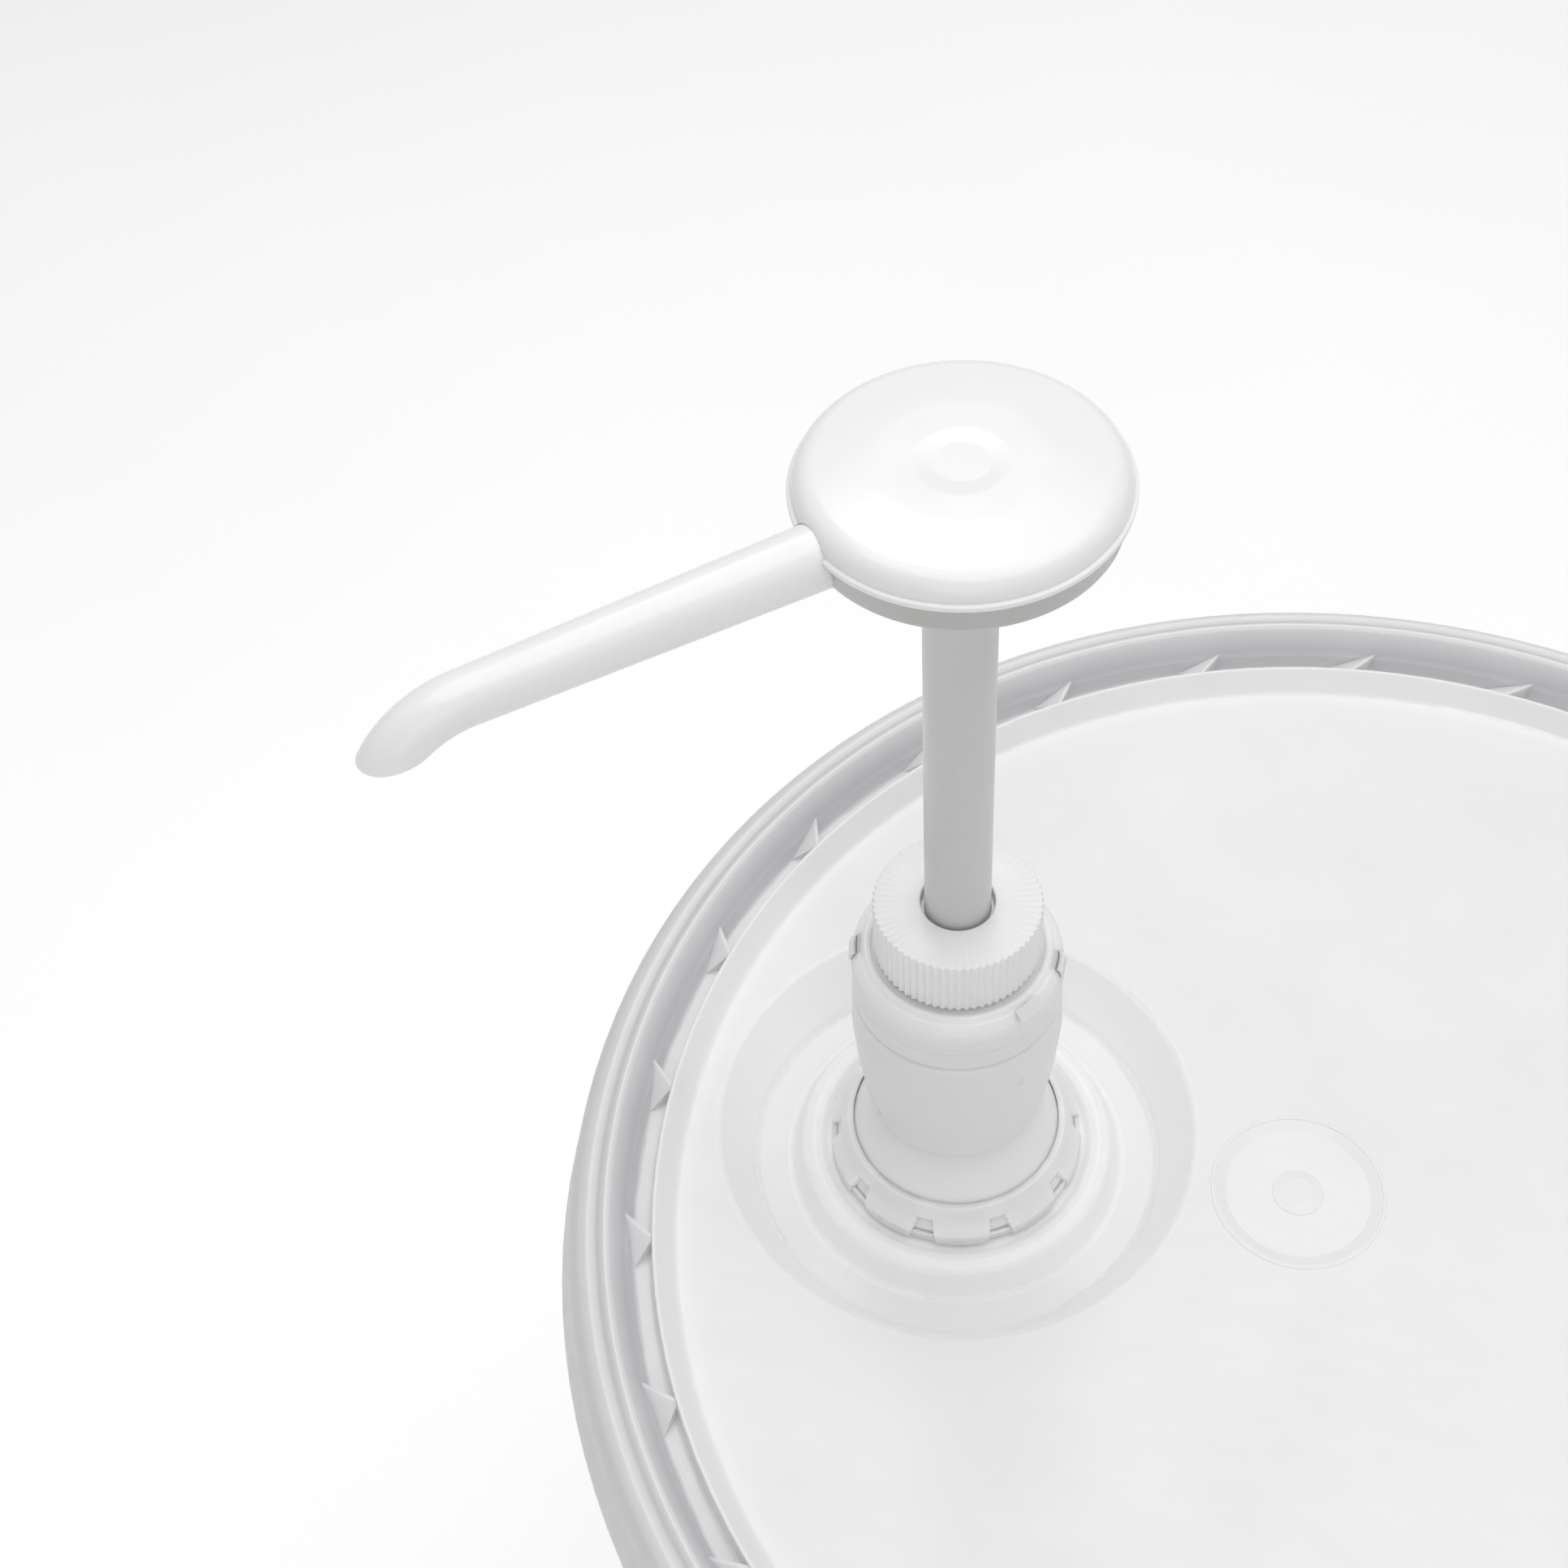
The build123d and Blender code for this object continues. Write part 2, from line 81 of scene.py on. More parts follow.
NOZZLE_AZIMUTH = 222.9
NOZZLE_ROOT_R = 5.5
NOZZLE_TIP_R = 4.5
ROOT_BORE_R = 3.5
TIP_BORE_R = 3.1
SPIGOT_R = 3.8
SPIGOT_BORE_R = 2.4
SPIGOT_X = 5.2
NOZZLE_ROOT_X = 22.4
NOZZLE_BEND_X = 84.1
NOZZLE_BEND_RADIUS = 16.7
NOZZLE_DROP = 5.2
NOZZLE_CLEARANCE = 0.05
NOZZLE_AROUND = 64
NOZZLE_STEPS = 24
NOZZLE_Z = NOZZLE_FOOT + NOZZLE_ROOT_R

TEETH = 66
TOOTH_DEEP = 0.55
STEM_WALL = 1.6
LIP_Z = -13.4
LUG_AZIMUTHS = (192.8, 362.8)
LUG_HALF = 2.2
WINDOWS = 10
WINDOW_PHASE = 267.8
WINDOW_WIDE = 5.6
WINDOW_HIGH = 5.4
WINDOW_DEEP = 1.5
FOOT_NOTCH = 0.6
SPRING_TURNS = 12
SPRING_WIRE = 1.3
SPRING_R = 8.0
SHARP_ANGLE = 34.0

# Camera: its place in millimetres from the frame's origin, its angles in radians
CAMERA_PLACE = (-29.5, -255.2, 423.8)
CAMERA_AZIMUTH = math.radians(19.41)
CAMERA_ELEVATION = math.radians(50.2)
CAMERA_ROLL = math.radians(-4.76)
CAMERA_LENS = 52.17


# ---- Mesh helpers ---------------------------------------------------------------
def at(x, y, z):
    """Point of the frame from millimetres on the pump's axis."""
    return PUMP + Vector((x, y, z)) * MM


def rounded(rows, steps):
    """Outline points from (radius, height, corner radius) rows, each soft corner an arc."""
    shared_side, whole_side = 0.49, 0.98
    points = []
    for i, (x, y, soft) in enumerate(rows):
        here = Vector((x, y))
        if soft <= 0:
            points.append(here)
            continue
        back = Vector(rows[i - 1][:2]) - here
        ahead = Vector(rows[(i + 1) % len(rows)][:2]) - here
        half = back.angle(ahead) / 2
        room_back = back.length * (shared_side if rows[i - 1][2] > 0 else whole_side)
        room_ahead = ahead.length * (shared_side if rows[(i + 1) % len(rows)][2] > 0 else whole_side)
        reach = min(soft / math.tan(half), room_back, room_ahead)
        radius = reach * math.tan(half)
        middle = here + (back.normalized() + ahead.normalized()).normalized() * (radius / math.sin(half))
        first = here + back.normalized() * reach - middle
        last = here + ahead.normalized() * reach - middle
        start = math.atan2(first.y, first.x)
        sweep = (math.atan2(last.y, last.x) - start + math.pi) % (2 * math.pi) - math.pi
        for k in range(steps + 1):
            turn = start + sweep * k / steps
            points.append(middle + Vector((math.cos(turn), math.sin(turn))) * radius)
    return points


def join_rings(mesh, first, last):
    """Faces between two rings of points; a ring of one point makes a fan."""
    count = max(len(first), len(last))
    for k in range(count):
        after = (k + 1) % count
        corners = [
            first[k % len(first)],
            first[after % len(first)],
            last[after % len(last)],
            last[k % len(last)],
        ]
        kept = [v for i, v in enumerate(corners) if v not in corners[:i]]
        if len(kept) > 2:
            mesh.faces.new(kept)


def piece(name, mesh, body, nodes, material, sharp=SHARP_ANGLE):
    """Blender object from a finished mesh, riding on its body in place of CAD nodes."""
    bmesh.ops.recalc_face_normals(mesh, faces=mesh.faces)
    data = bpy.data.meshes.new(name)
    mesh.to_mesh(data)
    mesh.free()
    data.shade_smooth()
    data.set_sharp_from_angle(angle=math.radians(sharp))
    made = bpy.data.objects.new(name, data)
    bpy.context.scene.collection.objects.link(made)
    made.data.materials.append(material)
    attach(made, body)
    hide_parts(*nodes)
    return made


def turned(rows, segments=192, steps=6, relief=None):
    """Closed mesh turned about the pump's axis; relief(angle, r, z) is taken off a point's radius."""
    mesh = bmesh.new()
    rings = []
    for r, z in rounded(rows, steps):
        if r < 0.001:
            rings.append([mesh.verts.new(at(0, 0, z))])
            continue
        ring = []
        for k in range(segments):
            turn = 2 * math.pi * k / segments
            reach = r - (relief(turn, r, z) if relief else 0.0)
            ring.append(mesh.verts.new(at(reach * math.cos(turn), reach * math.sin(turn), z)))
        rings.append(ring)
    for first, last in zip(rings, rings[1:] + rings[:1]):
        if len(first) + len(last) > 2:
            join_rings(mesh, first, last)
    return mesh


def toward_nozzle(x, y, z):
    """Point x out along the nozzle, y to its side and z up."""
    turn = math.radians(NOZZLE_AZIMUTH)
    return at(x * math.cos(turn) - y * math.sin(turn), x * math.sin(turn) + y * math.cos(turn), z)


def cross_ring(mesh, x, radius):
    """Ring of points square to the nozzle's straight run, x out from the pump's axis."""
    ring = []
    for k in range(NOZZLE_AROUND):
        turn = 2 * math.pi * k / NOZZLE_AROUND
        side = radius * math.cos(turn)
        rise = radius * math.sin(turn)
        ring.append(mesh.verts.new(toward_nozzle(x, side, NOZZLE_Z + rise)))
    return ring


# ---- Materials --------------------------------------------------------------------
def noise(tree, coords, size, detail=3.0, stretch=(1, 1, 1)):
    """Noise with features of a size in metres."""
    mapping = tree.nodes.new("ShaderNodeMapping")
    mapping.inputs["Scale"].default_value = stretch
    tree.links.new(coords, mapping.inputs["Vector"])
    made = tree.nodes.new("ShaderNodeTexNoise")
    made.inputs["Scale"].default_value = 1.0 / size
    made.inputs["Detail"].default_value = detail
    tree.links.new(mapping.outputs["Vector"], made.inputs["Vector"])
    return made.outputs["Fac"]


def ramp(tree, value, stops):
    """Colour ramp from (place, colour) stops."""
    made = tree.nodes.new("ShaderNodeValToRGB")
    band = made.color_ramp
    band.elements[0].position = stops[0][0]
    band.elements[0].color = (*stops[0][1], 1.0)
    band.elements[1].position = stops[-1][0]
    band.elements[1].color = (*stops[-1][1], 1.0)
    for place, colour in stops[1:-1]:
        band.elements.new(place).color = (*colour, 1.0)
    tree.links.new(value, made.inputs["Fac"])
    return made.outputs["Color"]


def remap(tree, value, low, high, start=0.3, end=0.7):
    """Value between start and end brought to between low and high."""
    made = tree.nodes.new("ShaderNodeMapRange")
    made.inputs["From Min"].default_value = start
    made.inputs["From Max"].default_value = end
    made.inputs["To Min"].default_value = low
    made.inputs["To Max"].default_value = high
    tree.links.new(value, made.inputs["Value"])
    return made.outputs["Result"]


def multiply(tree, first, second):
    made = tree.nodes.new("ShaderNodeMix")
    made.data_type = "RGBA"
    made.blend_type = "MULTIPLY"
    made.inputs["Factor"].default_value = 1.0
    tree.links.new(first, made.inputs["A"])
    tree.links.new(second, made.inputs["B"])
    return made.outputs["Result"]


def bump(tree, shader, heights):
    """Stack of bumps from (height, distance in metres, strength) rows."""
    normal = None
    for height, distance, strength in heights:
        made = tree.nodes.new("ShaderNodeBump")
        made.inputs["Distance"].default_value = distance
        made.inputs["Strength"].default_value = strength
        tree.links.new(height, made.inputs["Height"])
        if normal:
            tree.links.new(normal, made.inputs["Normal"])
        normal = made.outputs["Normal"]
    tree.links.new(normal, shader.inputs["Normal"])


def start_material(name):
    made = bpy.data.materials.new(name)
    made.use_nodes = True
    tree = made.node_tree
    coords = tree.nodes.new("ShaderNodeTexCoord").outputs["Object"]
    return made, tree, tree.nodes["Principled BSDF"], coords


def shade(colour, share):
    return tuple(channel * share for channel in colour)


def plastic(name, colour, mottle, rough, grain, deep, depth=0.0, passing=0.0, cloud=0.012):
    """Moulded plastic: cloudy colour, uneven gloss, slow sink waves and a fine mould grain."""
    made, tree, shader, coords = start_material(name)
    clouds = noise(tree, coords, cloud)
    tint = ramp(tree, clouds, [(0.2, shade(colour, 1.0 - mottle)), (0.8, colour)])
    tree.links.new(tint, shader.inputs["Base Color"])
    gloss = remap(tree, noise(tree, coords, cloud * 0.8, 1.0), rough * 0.9, rough * 1.12, 0.2, 0.8)
    tree.links.new(gloss, shader.inputs["Roughness"])
    waves = noise(tree, coords, cloud * 1.2, 1.0)
    fine = noise(tree, coords, grain, 2.0)
    bump(tree, shader, [(waves, 0.0004, 0.3), (fine, deep, 0.25)])
    shader.inputs["IOR"].default_value = 1.49
    shader.inputs["Subsurface Weight"].default_value = depth
    shader.inputs["Subsurface Radius"].default_value = (1.0, 1.0, 0.98)
    shader.inputs["Subsurface Scale"].default_value = 0.003
    shader.inputs["Transmission Weight"].default_value = passing
    return made


def lid_material(name):
    """Satin natural polyethylene, pale on the panel, with painted shade on the rim's walls and channel and
    painted light on its ridges, on the slope by the panel and round the recess about the pump.
    """
    made, tree, shader, coords = start_material(name)
    flat = tree.nodes.new("ShaderNodeVectorMath")
    flat.operation = "MULTIPLY"
    flat.inputs[1].default_value = (1, 1, 0)
    tree.links.new(coords, flat.inputs[0])
    length = tree.nodes.new("ShaderNodeVectorMath")
    length.operation = "LENGTH"
    tree.links.new(flat.outputs["Vector"], length.inputs[0])
    out = remap(tree, length.outputs["Value"], 0.0, 1.0, start=0.140, end=0.170)
    # Rings of colour out from the panel's edge: painted light on the slope by the panel, painted shade on
    # the rim's walls and channel, and painted highlights along the ridge crests
    panel = (1.0, 1.0, 1.0)
    wall = (0.74, 0.745, 0.77)
    stops = [
        (0.0, panel),
        (0.12, shade(panel, 1.04)),
        (0.26, shade(panel, 1.06)),
        (0.29, shade(panel, 0.98)),
        (0.40, (0.90, 0.90, 0.91)),
        (0.47, wall),
        (0.58, (0.98, 0.98, 0.99)),
        (0.64, (0.80, 0.80, 0.82)),
        (0.71, (1.0, 1.0, 1.0)),
        (0.80, (0.86, 0.86, 0.87)),
        (1.0, (0.84, 0.84, 0.86)),
    ]
    rim_painted_light_and_shade = ramp(tree, out, stops)
    clouds = ramp(tree, noise(tree, coords, 0.03, 4.0), [(0.3, (0.965,) * 3), (0.7, (1.0,) * 3)])
    # Painted light by distance from the pump's axis: brighter on the boss round the spout and on the sloping
    # wall of the recess, lifting their shade; the panel beyond stays at 0.81
    from_pump = tree.nodes.new("ShaderNodeVectorMath")
    from_pump.operation = "DISTANCE"
    from_pump.inputs[1].default_value = (PUMP.x, PUMP.y, 0)
    tree.links.new(flat.outputs["Vector"], from_pump.inputs[0])
    near = remap(tree, from_pump.outputs["Value"], 0.0, 1.0, start=0.030, end=0.054)
    well_painted_light_levels = [
        (0.0, 0.90),
        (0.25, 0.93),
        (0.32, 0.79),
        (0.57, 0.79),
        (0.64, 0.93),
        (0.86, 0.93),
        (0.95, 0.81),
        (1.0, 0.81),
    ]
    well_painted_light = ramp(tree, near, [(place, (level,) * 3) for place, level in well_painted_light_levels])
    base = multiply(tree, multiply(tree, rim_painted_light_and_shade, clouds), well_painted_light)
    tree.links.new(base, shader.inputs["Base Color"])
    scuffs = noise(tree, coords, 0.004, 6.0, (0.25, 1.6, 1.0))
    tree.links.new(remap(tree, scuffs, 0.36, 0.52), shader.inputs["Roughness"])
    waves = noise(tree, coords, 0.02, 1.0)
    fine = noise(tree, coords, 0.0006, 2.0)
    bump(tree, shader, [(waves, 0.0005, 0.25), (scuffs, 0.00006, 0.25), (fine, 0.00003, 0.25)])
    shader.inputs["IOR"].default_value = 1.52
    shader.inputs["Subsurface Weight"].default_value = 0.5
    shader.inputs["Subsurface Radius"].default_value = (1.0, 1.0, 1.0)
    shader.inputs["Subsurface Scale"].default_value = 0.004
    return made


def steel(name, colour, rough, streak):
    """Drawn or polished stainless steel with fine streaks along Z."""
    made, tree, shader, coords = start_material(name)
    lines = noise(tree, coords, 0.0008, 4.0, (1.0, 1.0, streak))
    tint = ramp(tree, lines, [(0.3, shade(colour, 0.85)), (0.7, colour)])
    tree.links.new(tint, shader.inputs["Base Color"])
    tree.links.new(remap(tree, lines, rough * 0.7, rough * 1.4), shader.inputs["Roughness"])
    bump(tree, shader, [(lines, 0.00003, 0.4)])
    shader.inputs["Metallic"].default_value = 1.0
    return made


# Colour, mottle, roughness, grain size and depth in metres, subsurface share, transmission
GLOSSY = plastic("glossy_polypropylene", (0.86, 0.86, 0.858), 0.02, 0.20, 0.0007, 0.00003, 0.10)
COLLAR = plastic("collar_polypropylene", (0.93, 0.93, 0.925), 0.03, 0.34, 0.0005, 0.00005, 0.08, cloud=0.006)
# Stem: white polypropylene given a grey colour (0.64), painted shade for the stem's shaded side
STEM_PAINTED_SHADE = plastic("stem_polypropylene_painted_shade", (0.64, 0.64, 0.635), 0.015, 0.28, 0.0006, 0.00001, 0.06, cloud=0.03)
# Head base: the cap's white polypropylene given a grey colour (0.50), painted shade for the shade under the
# cap
SHELL_PAINTED_SHADE = plastic("shell_polypropylene_painted_shade", (0.50, 0.51, 0.49), 0.02, 0.26, 0.0007, 0.00003, 0.08)
MILKY = plastic("milky_polyethylene", (0.99, 0.99, 0.99), 0.03, 0.30, 0.0009, 0.00002, 0.9, cloud=0.010)
NATURAL = plastic("natural_polypropylene", (0.78, 0.78, 0.77), 0.05, 0.34, 0.0008, 0.00005, 0.45, 0.12)
WAXY = plastic("waxy_seal", (0.72, 0.74, 0.76), 0.05, 0.40, 0.0005, 0.00004, 0.2, cloud=0.004)
SOFT = plastic("wiper_elastomer", (0.84, 0.84, 0.82), 0.06, 0.62, 0.0004, 0.00006, 0.1, cloud=0.003)
FOAM = plastic("gasket_foam", (0.85, 0.85, 0.83), 0.12, 0.75, 0.0004, 0.00020, cloud=0.003)
LID = lid_material("lid_polyethylene_painted_light_and_shade")
BALL = steel("polished_steel", (0.75, 0.75, 0.76), 0.10, 1.0)
WIRE = steel("spring_wire", (0.62, 0.62, 0.63), 0.28, 0.1)

CAD_FINISH = {
    "pail_lid": LID,
    "rim_gasket": FOAM,
    "spout_gasket": FOAM,
    "tear_tab": GLOSSY,
    "neck_gasket": FOAM,
    "stem_guide": GLOSSY,
    "stem_wiper": SOFT,
    "head_base": SHELL_PAINTED_SHADE,
    "piston_core": GLOSSY,
    "piston_cup": WAXY,
    "piston_retainer": GLOSSY,
    "discharge_ball": BALL,
    "discharge_ball_stop": GLOSSY,
    "pump_cylinder": NATURAL,
    "foot_valve": NATURAL,
    "inlet_ball": BALL,
    "inlet_ball_cage": GLOSSY,
    "dip_tube": NATURAL,
}
for node, finish in CAD_FINISH.items():
    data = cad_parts[node].data
    data.materials.clear()
    data.materials.append(finish)


# ---- Pieces that stand for CAD nodes ------------------------------------------------
def cut_by_nozzle(made):
    """Takes the nozzle's way through the rim out of a head piece, and welds the result clean."""
    inner_end = NOZZLE_ROOT_X - 0.5
    outer_end = HEAD_R + 2
    weld = 0.000003
    mesh = bmesh.new()
    rings = [cross_ring(mesh, x, NOZZLE_ROOT_R + NOZZLE_CLEARANCE) for x in (inner_end, outer_end)]
    join_rings(mesh, rings[0], rings[1])
    for ring in rings:
        mesh.faces.new(ring)
    bmesh.ops.recalc_face_normals(mesh, faces=mesh.faces)
    data = bpy.data.meshes.new("nozzle_way")
    mesh.to_mesh(data)
    mesh.free()
    cutter = bpy.data.objects.new("nozzle_way", data)
    bpy.context.scene.collection.objects.link(cutter)
    cut = made.modifiers.new("nozzle_way", "BOOLEAN")
    cut.operation = "DIFFERENCE"
    cut.solver = "EXACT"
    cut.object = cutter
    bpy.context.view_layer.update()
    result = bpy.data.meshes.new_from_object(made.evaluated_get(bpy.context.evaluated_depsgraph_get()))
    clean = bmesh.new()
    clean.from_mesh(result)
    bmesh.ops.remove_doubles(clean, verts=clean.verts, dist=weld)
    bmesh.ops.dissolve_degenerate(clean, edges=clean.edges, dist=weld)
    bmesh.ops.recalc_face_normals(clean, faces=clean.faces)
    clean.to_mesh(result)
    clean.free()
    made.modifiers.clear()
    made.data = result
    bpy.data.objects.remove(cutter)


def push_cap():
    """Domed cap: shallow central dimple, pillow edge, and a fine rounded lip at its foot."""
    dimple = HEAD_TOP - 0.22
    side_r = HEAD_R - 0.7
    inside = HEAD_TOP - 1.9
    rows = [
        (0, dimple, 0),
        (4.6, dimple, 5.0),
        (7.6, HEAD_TOP - 0.02, 8.0),
        (14.0, HEAD_TOP, 40.0),
        (side_r, HEAD_TOP - 0.6, 4.4),
        (side_r, LIP_FOOT + 1.15, 0),
        (HEAD_R, LIP_FOOT + 0.95, 0.3),
        (HEAD_R, LIP_FOOT, 0.3),
        (HEAD_R - 1.9, LIP_FOOT, 0.2),
        (HEAD_R - 3.2, inside, 0.8),
        (0, inside, 0),
    ]
    made = piece("push_cap", turned(rows, 256, 10), "head", ["head_cap"], GLOSSY)
    cut_by_nozzle(made)
    made.data.set_sharp_from_angle(angle=math.radians(SHARP_ANGLE))


def bend_rings(mesh, radius):
    """Rings round the nozzle's bend; each line of points stops where it meets the level cut."""
    rings = []
    for i in range(1, NOZZLE_STEPS + 1):
        ring = []
        for k in range(NOZZLE_AROUND):
            turn = 2 * math.pi * k / NOZZLE_AROUND
            reach = NOZZLE_BEND_RADIUS + radius * math.sin(turn)
            slope = math.acos((NOZZLE_BEND_RADIUS - NOZZLE_DROP) / reach) * i / NOZZLE_STEPS
            x = NOZZLE_BEND_X + reach * math.sin(slope)
            z = NOZZLE_Z - NOZZLE_BEND_RADIUS + reach * math.cos(slope)
            ring.append(mesh.verts.new(toward_nozzle(x, radius * math.cos(turn), z)))
        rings.append(ring)
    return rings


def nozzle_wall(mesh, spigot, root, tip):
    """One wall of the nozzle, inner or outer, from the spigot in the hub to the level cut."""
    rings = [cross_ring(mesh, x, spigot) for x in (SPIGOT_X, NOZZLE_ROOT_X)]
    for i in range(NOZZLE_STEPS + 1):
        share = i / NOZZLE_STEPS
        x = NOZZLE_ROOT_X + (NOZZLE_BEND_X - NOZZLE_ROOT_X) * share
        rings.append(cross_ring(mesh, x, root + (tip - root) * share))
    rings += bend_rings(mesh, tip)
    for first, last in zip(rings, rings[1:]):
        join_rings(mesh, first, last)
    return rings


def nozzle_tube():
    """Spigot in the hub, then a tapered tube that turns down and is cut level, with its bore open."""
    mesh = bmesh.new()
    outer = nozzle_wall(mesh, SPIGOT_R, NOZZLE_ROOT_R, NOZZLE_TIP_R)
    bore = nozzle_wall(mesh, SPIGOT_BORE_R, ROOT_BORE_R, TIP_BORE_R)
    join_rings(mesh, outer[0], bore[0])
    join_rings(mesh, outer[-1], bore[-1])
    piece("discharge_nozzle", mesh, "head", ["nozzle"], GLOSSY)


def screw_collar():
    """Collar with V-teeth up its side and over its chamfered edges, and a soft-edged stem hole."""
    hole_r = 7.2
    bore_r = 14.3
    ceiling = -2.0
    edge_r = COLLAR_R - 0.75

    def teeth(turn, r, z):
        along = (turn * TEETH / (2 * math.pi)) % 1.0
        deep = TOOTH_DEEP * (1 - abs(2 * along - 1))
        return deep if r > COLLAR_R - 0.8 else 0.0

    rows = [
        (hole_r, 0, 0.35),
        (edge_r, 0, 0.0),
        (COLLAR_R, -0.22, 0.0),
        (COLLAR_R, COLLAR_FOOT + 0.2, 0.0),
        (edge_r, COLLAR_FOOT, 0.0),
        (bore_r, COLLAR_FOOT, 0.2),
        (bore_r, ceiling, 0.3),
        (hole_r, ceiling, 0.2),
    ]
    mesh = turned(rows, TEETH * 8, 4, teeth)
    piece("screw_collar", mesh, "base", ["collar"], COLLAR, 24.0)


def stem_tube():
    """Glossy stem with plain ends, from the head's hub down to the piston."""
    foot = (STEM_LOW.z - COLLAR_TOP) / MM
    top = (STEM_HIGH.z - COLLAR_TOP) / MM
    outer = (STEM_HIGH.x - STEM_LOW.x) / 2 / MM
    bore = outer - STEM_WALL
    count = 40
    heights = [foot + (top - foot) * i / count for i in range(count + 1)]
    rows = [(bore, foot, 0)] + [(outer, z, 0) for z in heights] + [(bore, top, 0)]
    piece("stem_tube", turned(rows, 128), "head", ["stem"], STEM_PAINTED_SHADE)


def block(mesh, corners):
    """Closed six-sided block from its eight corners, low four then high four."""
    points = [mesh.verts.new(corner) for corner in corners]
    for face in ((0, 1, 2, 3), (4, 5, 6, 7), (0, 1, 5, 4), (1, 2, 6, 5), (2, 3, 7, 6), (3, 0, 4, 7)):
        mesh.faces.new([points[k] for k in face])


def pull_up_spout():
    """Milky spout: neck with two ring beads, lip round the collar's foot, lined body, flared foot."""
    low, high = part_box("spout")
    top = (high.z - COLLAR_TOP) / MM
    foot = (low.z - COLLAR_TOP) / MM
    neck = 13.6
    rows = [
        (12.0, top, 0.3), (neck, top, 0.3), (neck, top - 1.2, 0.2), (neck + 0.45, top - 1.8, 0.2),
        (neck, top - 2.4, 0.2), (neck, top - 4.2, 0.2), (neck + 0.45, top - 4.8, 0.2),
        (neck, top - 5.4, 0.2), (neck, LIP_Z - 1.0, 0.3), (16.9, LIP_Z - 1.0, 0.3),
        (17.3, LIP_Z - 0.4, 0.3), (18.2, LIP_Z, 0.4), (19.0, LIP_Z - 0.9, 0.5), (19.6, LIP_Z - 1.1, 0.3),
        (20.7, LIP_Z - 2.8, 0.9), (21.0, -18.0, 0.8), (21.0, -22.2, 0.2), (20.8, -22.5, 0.2),
        (21.0, -22.8, 0.2), (21.0, -26.9, 0.3), (20.6, -27.4, 0.2), (20.6, -28.1, 0.2), (21.1, -28.7, 0.3),
        (21.4, -38.0, 8.0), (20.6, -50.0, 8.0), (18.8, -63.6, 1.2), (17.4, -65.6, 0.6),
        (18.5, -69.0, 2.0), (24.0, -83.0, 1.0), (24.0, -84.7, 0.3), (26.4, -84.7, 0.3), (26.4, foot, 0),
        (22.4, foot, 0.5), (22.2, -82.6, 1.0), (16.9, -69.2, 2.0), (15.8, -65.4, 1.5), (17.1, -62.8, 1.5),
        (18.9, -49.8, 8.0), (19.7, -38.0, 8.0), (19.2, -18.6, 1.0), (18.2, -16.9, 0.6), (12.0, -16.9, 0),
    ]
    mesh = turned(rows, 192, 5)
    for azimuth in LUG_AZIMUTHS:
        turn = math.radians(azimuth)
        along = Vector((math.cos(turn), math.sin(turn)))
        side = Vector((-math.sin(turn), math.cos(turn)))
        outline = [(18.8, -14.8), (21.0, -15.1), (21.4, -17.4), (19.8, -17.2)]
        corners = [at(*(along * r + side * y), z) for y in (-LUG_HALF, LUG_HALF) for r, z in outline]
        block(mesh, corners)
    piece("pull_up_spout", mesh, "base", ["spout"], MILKY, 40.0)


def castellated_ring():
    """Ring on the spout's flange, with tapered windows let into its sloping side down to the foot."""
    ring_low, ring_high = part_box("retaining_ring")
    foot = (ring_low.z - COLLAR_TOP) / MM
    crown = (ring_high.z - COLLAR_TOP) / MM
    outer = (ring_high.x - ring_low.x) / 2 / MM

    def windows(turn, r, z):
        along = ((turn - math.radians(WINDOW_PHASE)) * WINDOWS / (2 * math.pi) + 0.5) % 1.0 - 0.5
        off_middle = abs(along) * 2 * math.pi * outer / WINDOWS
        rise = (z - foot) / WINDOW_HIGH
        half_width = WINDOW_WIDE / 2 * (1.12 - 0.45 * rise)
        if r < outer - 3.9 or rise > 1.0:
            return 0.0
        edge = min(max((half_width - off_middle) / 0.3, 0.0), 1.0)
        return edge * (FOOT_NOTCH if z < foot + 1.85 else WINDOW_DEEP)

    rows = [
        (outer - 5.1, crown, 0),
        (outer - 3.15, foot + 3.25, 0),
        (outer - 3.15, foot + 1.8, 0),
        (outer - 0.8, foot + 1.8, 0),
        (outer - 0.8, foot, 0),
        (outer, foot, 0.15),
        (outer, foot + 0.9, 0),
        (outer, foot + 1.8, 0),
        (outer, foot + 2.0, 0),
        (outer - 0.15, foot + 2.9, 0.4),
        (outer - 0.9, foot + 3.8, 0),
        (outer - 1.6, foot + 4.8, 0),
        (outer - 2.3, foot + 5.7, 0),
        (outer - 3.8, crown - 0.1, 0.3),
    ]
    mesh = turned(rows, 720, 3, windows)
    piece("castellated_ring", mesh, "base", ["retaining_ring"], MILKY, 30.0)


def coil_spring():
    """Wound wire between the barrel's foot and the piston."""
    mesh = bmesh.new()
    per_turn, around = 40, 12
    low = SPRING_FOOT + SPRING_WIRE / 2
    height = SPRING_TOP - SPRING_FOOT - SPRING_WIRE
    steps = SPRING_TURNS * per_turn
    rings = []
    for i in range(steps + 1):
        turn = 2 * math.pi * i / per_turn
        middle_z = low + height * i / steps
        ring = []
        for k in range(around):
            bend = 2 * math.pi * k / around
            r = SPRING_R + SPRING_WIRE / 2 * math.cos(bend)
            z = middle_z + SPRING_WIRE / 2 * math.sin(bend)
            ring.append(mesh.verts.new(at(r * math.cos(turn), r * math.sin(turn), z)))
        rings.append(ring)
    for first, last in zip(rings, rings[1:]):
        join_rings(mesh, first, last)
    mesh.faces.new(rings[0])
    mesh.faces.new(rings[-1])
    made = piece("coil_spring", mesh, "base", ["return_spring"], WIRE)
    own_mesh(made)


push_cap()
nozzle_tube()
stem_tube()
screw_collar()
pull_up_spout()
castellated_ring()
coil_spring()


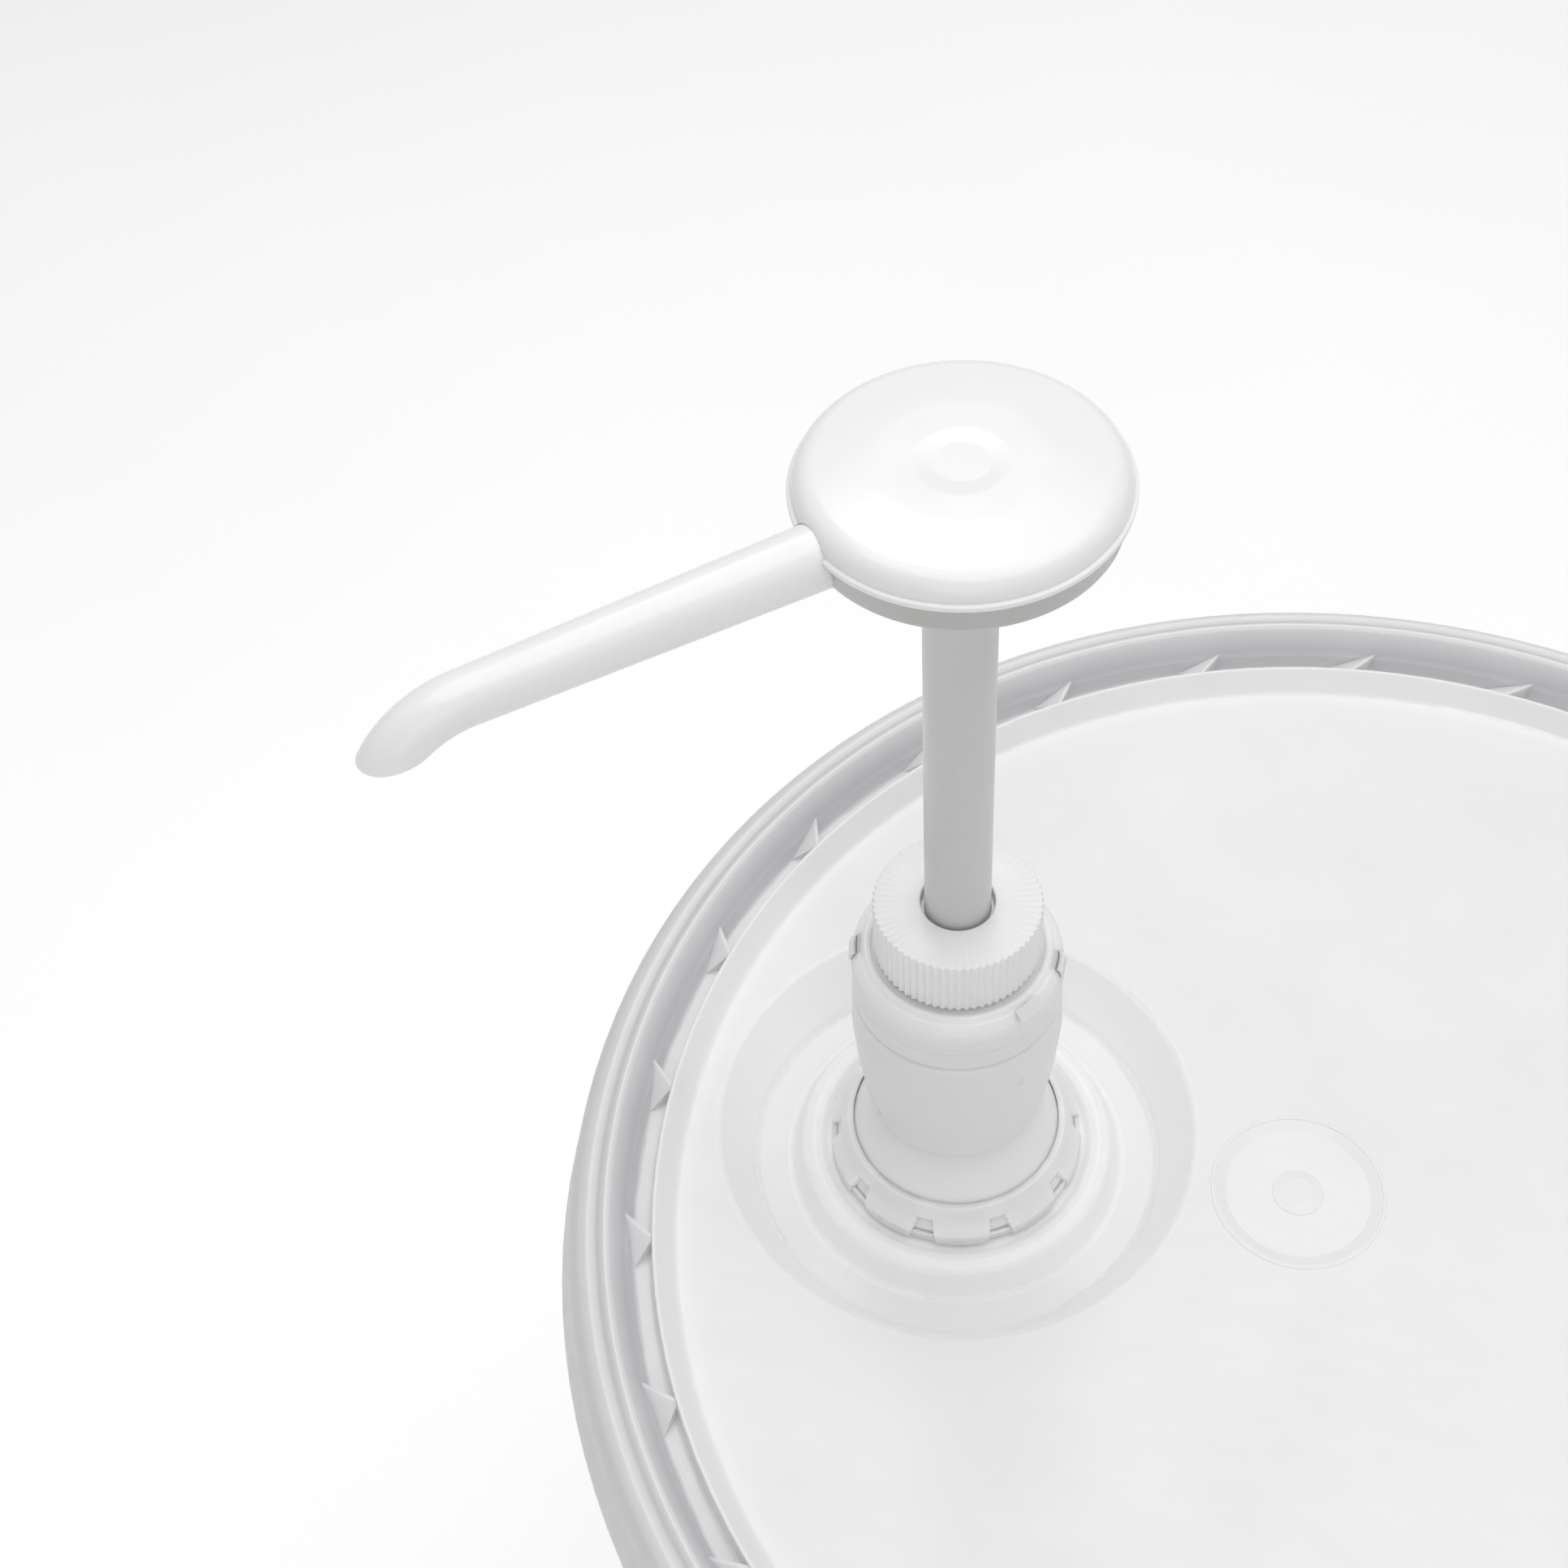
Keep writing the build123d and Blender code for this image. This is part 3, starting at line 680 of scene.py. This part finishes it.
# ---- Stage --------------------------------------------------------------------------
def floor():
    """Plain pale floor below the dip tube's foot."""
    size = 6.0
    gap = 0.002
    level = cad_box[0][2] - gap
    mesh = bmesh.new()
    corners = [(-size, -size), (size, -size), (size, size), (-size, size)]
    mesh.faces.new([mesh.verts.new((x, y, level)) for x, y in corners])
    data = bpy.data.meshes.new("floor")
    mesh.to_mesh(data)
    mesh.free()
    made = bpy.data.objects.new("floor", data)
    bpy.context.scene.collection.objects.link(made)
    material, tree, shader, coords = start_material("floor_paper")
    paper = ramp(tree, noise(tree, coords, 0.3), [(0.3, (0.95,) * 3), (0.7, (0.97,) * 3)])
    tree.links.new(paper, shader.inputs["Base Color"])
    shader.inputs["Roughness"].default_value = 0.9
    shader.inputs["Specular IOR Level"].default_value = 0.1
    shader.inputs["Emission Color"].default_value = (1, 1, 1, 1)
    shader.inputs["Emission Strength"].default_value = 0.22
    data.materials.append(material)


def area_light(name, place, target, size, power):
    light = bpy.data.lights.new(name, "AREA")
    light.shape = "SQUARE"
    light.size = size
    light.energy = power
    made = bpy.data.objects.new(name, light)
    made.location = place
    made.rotation_euler = (Vector(target) - Vector(place)).to_track_quat("-Z", "Y").to_euler()
    bpy.context.scene.collection.objects.link(made)


def lights():
    world = bpy.data.worlds.new("studio")
    world.use_nodes = True
    sky = world.node_tree.nodes["Background"]
    sky.inputs["Color"].default_value = (1, 1, 1, 1)
    sky.inputs["Strength"].default_value = 0.42
    bpy.context.scene.world = world
    head = PUMP + Vector((0, 0, HEAD_TOP * MM))
    away = Vector((-math.sin(CAMERA_AZIMUTH), math.cos(CAMERA_AZIMUTH), 0))
    area_light("overhead", head + Vector((0.1, 0.2, 1.3)), head, size=1.6, power=15.0)
    area_light("window", head + away * 0.75 + Vector((0, 0, 0.95)), head, size=0.28, power=0.8)
    area_light("fill", PUMP - away * 1.0 + Vector((0, 0, 0.45)), PUMP, size=0.8, power=1.7)


def camera():
    """Camera at the photograph's viewing angle, looking down on the head and lid."""
    right = Vector((1, 0, 0))
    up = Vector((0, math.sin(CAMERA_ELEVATION), math.cos(CAMERA_ELEVATION)))
    ahead = Vector((0, math.cos(CAMERA_ELEVATION), -math.sin(CAMERA_ELEVATION)))
    tilt_right = right * math.cos(CAMERA_ROLL) + up * math.sin(CAMERA_ROLL)
    tilt_up = up * math.cos(CAMERA_ROLL) - right * math.sin(CAMERA_ROLL)
    turn = Matrix.Rotation(CAMERA_AZIMUTH, 3, "Z")
    axes = Matrix([turn @ tilt_right, turn @ tilt_up, turn @ -ahead]).transposed().to_4x4()
    lens = bpy.data.cameras.new("camera")
    lens.sensor_width = 36.0
    lens.lens = CAMERA_LENS
    lens.clip_start = 0.01
    made = bpy.data.objects.new("camera", lens)
    made.matrix_world = Matrix.Translation(Vector(CAMERA_PLACE) * MM) @ axes
    bpy.context.scene.collection.objects.link(made)
    bpy.context.scene.camera = made


floor()
lights()
camera()
bpy.context.scene.view_settings.view_transform = "Standard"
